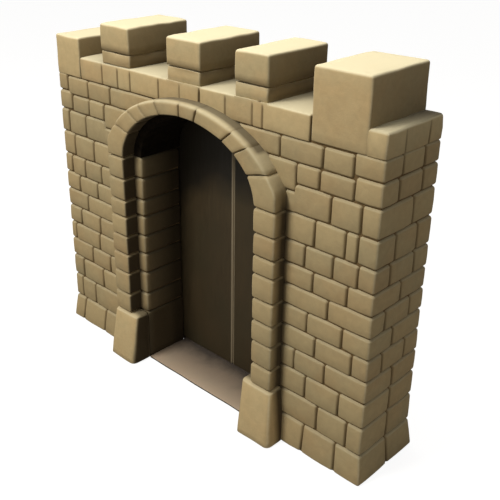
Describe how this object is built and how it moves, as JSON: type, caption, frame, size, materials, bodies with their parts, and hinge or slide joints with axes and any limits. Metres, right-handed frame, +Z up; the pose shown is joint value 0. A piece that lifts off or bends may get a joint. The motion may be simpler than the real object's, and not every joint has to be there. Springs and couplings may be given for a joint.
{
  "type": "castle gate",
  "caption": "Free-standing length of crenellated ashlar wall with a projecting arched stone surround, a deep passage and a pair of hinged timber leaves that open inwards.",
  "frame": {"origin": "on the ground, under the middle of the whole footprint", "axes": "+X to the right along the wall seen from the front, +Y from the front face to the back, +Z up"},
  "size_m": [5.56, 1.38, 4.712],
  "materials": {
    "stone": "worn ashlar",
    "stone_light": "worn ashlar",
    "stone_dark": "worn ashlar in shade",
    "timber": "smooth dark weathered boards",
    "iron": "blackened"
  },
  "bodies": {
    "masonry": {"foot_left": "stone", "foot_right": "stone", "wall_left": "stone", "wall_right": "stone", "parapet_left": "stone", "parapet_middle": "stone", "parapet_right": "stone", "merlon_1": "stone_light", "merlon_2_block": "stone", "merlon_2_cap": "stone_light", "merlon_3_block": "stone", "merlon_3_cap": "stone_light", "merlon_4_block": "stone", "merlon_4_cap": "stone_light", "merlon_5": "stone_light", "shoulder": "stone", "base_block_left": "stone_light", "base_block_right": "stone_light", "jamb_left": "stone", "jamb_right": "stone", "springer_left": "stone_light", "springer_right": "stone_light", "voussoir_1": "stone_light", "voussoir_2": "stone_light", "voussoir_3": "stone_light", "voussoir_4": "stone_light", "voussoir_5": "stone_light", "voussoir_6": "stone_light", "voussoir_7": "stone_light", "voussoir_8": "stone_light", "reveal_left": "stone_dark", "reveal_right": "stone_dark", "head_left": "stone_dark", "head_right": "stone_dark", "rear_jamb_left": "stone", "rear_jamb_right": "stone", "rear_head_left": "stone", "rear_head_right": "stone", "threshold": "stone_light", "pintles": "iron"},
    "left_leaf": {"leaf_left": "timber", "straps_left": "iron"},
    "right_leaf": {"leaf_right": "timber", "straps_right": "iron"}
  },
  "joints": [
    {"name": "left_leaf_swing", "type": "hinge", "parent": "masonry", "child": "left_leaf", "pos_m": [-1.085, 0.433, 1.7], "axis": [0, 0, 1], "range_deg": [0, 90]},
    {"name": "right_leaf_swing", "type": "hinge", "parent": "masonry", "child": "right_leaf", "pos_m": [1.185, 0.433, 1.7], "axis": [0, 0, -1], "range_deg": [0, 90]}
  ]
}
